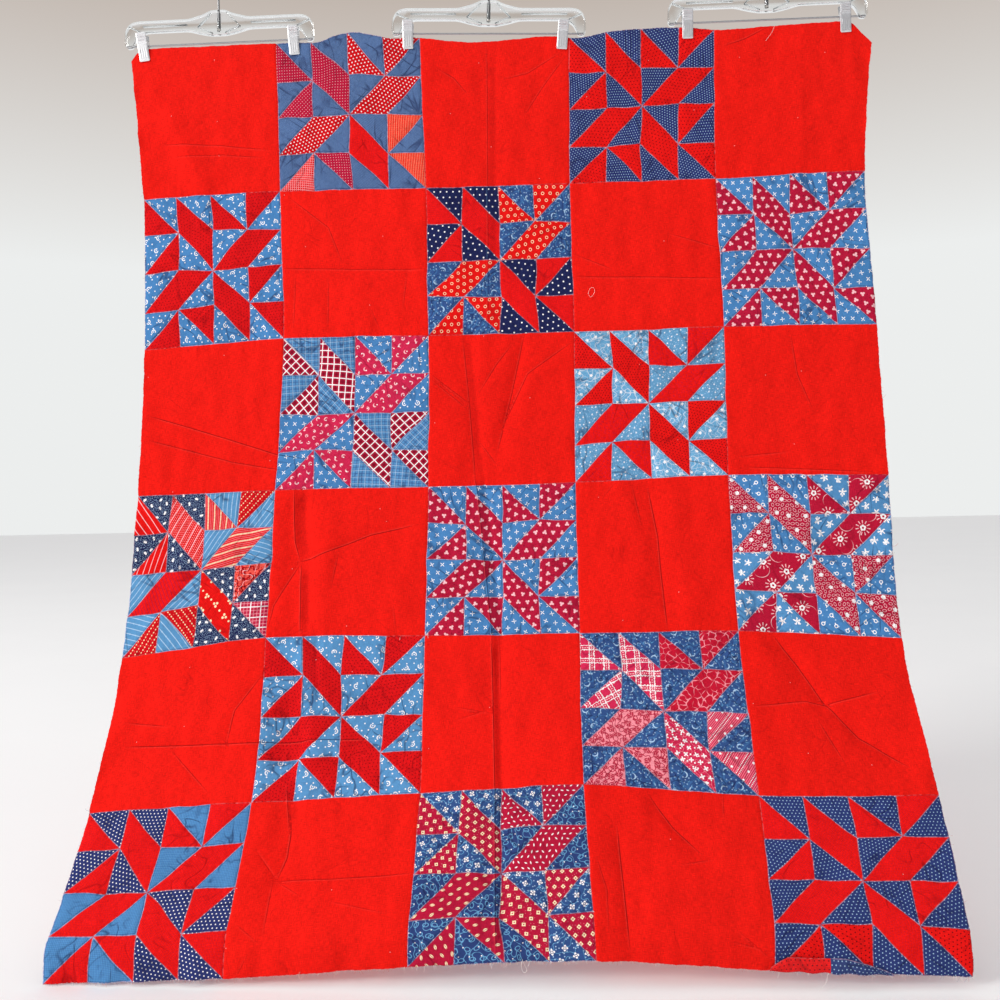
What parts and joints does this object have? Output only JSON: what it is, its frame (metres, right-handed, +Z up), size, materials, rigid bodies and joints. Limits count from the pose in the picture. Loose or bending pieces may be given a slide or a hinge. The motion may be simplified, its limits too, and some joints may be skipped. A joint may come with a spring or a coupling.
{
  "type": "patchwork quilt top on clip hangers",
  "caption": "Patchwork quilt top of plain and pieced square blocks, its top edge gripped by metal clips on clear hangers with wire hooks.",
  "frame": {"origin": "inside top of the centre hanger's hook, where a hanging rail bears", "axes": "+X to the viewer's right along the rail, +Y away from the viewer, +Z up; the quilt's face looks towards -Y"},
  "size_m": [1.3718, 0.4037, 1.7158],
  "materials": {
    "red_cloth": "plain-woven cotton, faded and creased",
    "pieced_cloth": "printed cotton triangles in reds and blues, matt",
    "clear_plastic": "clear, moulded, glossy",
    "hook_wire": "bright plated wire",
    "rod_metal": "bright plated rod",
    "clip_metal": "bright plated sheet, ribbed"
  },
  "bodies": {
    "root": {"plain_r1_c1": "red_cloth", "pieced_r1_c2": "pieced_cloth", "plain_r1_c3": "red_cloth", "pieced_r1_c4": "pieced_cloth", "plain_r1_c5": "red_cloth", "pieced_r2_c1": "pieced_cloth", "plain_r2_c2": "red_cloth", "pieced_r2_c3": "pieced_cloth", "plain_r2_c4": "red_cloth", "pieced_r2_c5": "pieced_cloth", "plain_r3_c1": "red_cloth", "pieced_r3_c2": "pieced_cloth", "plain_r3_c3": "red_cloth", "pieced_r3_c4": "pieced_cloth", "plain_r3_c5": "red_cloth", "pieced_r4_c1": "pieced_cloth", "plain_r4_c2": "red_cloth", "pieced_r4_c3": "pieced_cloth", "plain_r4_c4": "red_cloth", "pieced_r4_c5": "pieced_cloth", "plain_r5_c1": "red_cloth", "pieced_r5_c2": "pieced_cloth", "plain_r5_c3": "red_cloth", "pieced_r5_c4": "pieced_cloth", "plain_r5_c5": "red_cloth", "pieced_r6_c1": "pieced_cloth", "plain_r6_c2": "red_cloth", "pieced_r6_c3": "pieced_cloth", "plain_r6_c4": "red_cloth", "pieced_r6_c5": "pieced_cloth", "hanger_frame_left": "clear_plastic", "hanger_hook_left": "hook_wire", "hanger_rod_left": "rod_metal", "clip_left_1": "clip_metal", "clip_left_2": "clip_metal", "hanger_frame_centre": "clear_plastic", "hanger_hook_centre": "hook_wire", "hanger_rod_centre": "rod_metal", "clip_centre_1": "clip_metal", "clip_centre_2": "clip_metal", "hanger_frame_right": "clear_plastic", "hanger_hook_right": "hook_wire", "hanger_rod_right": "rod_metal", "clip_right_1": "clip_metal", "clip_right_2": "clip_metal"}
  },
  "joints": []
}
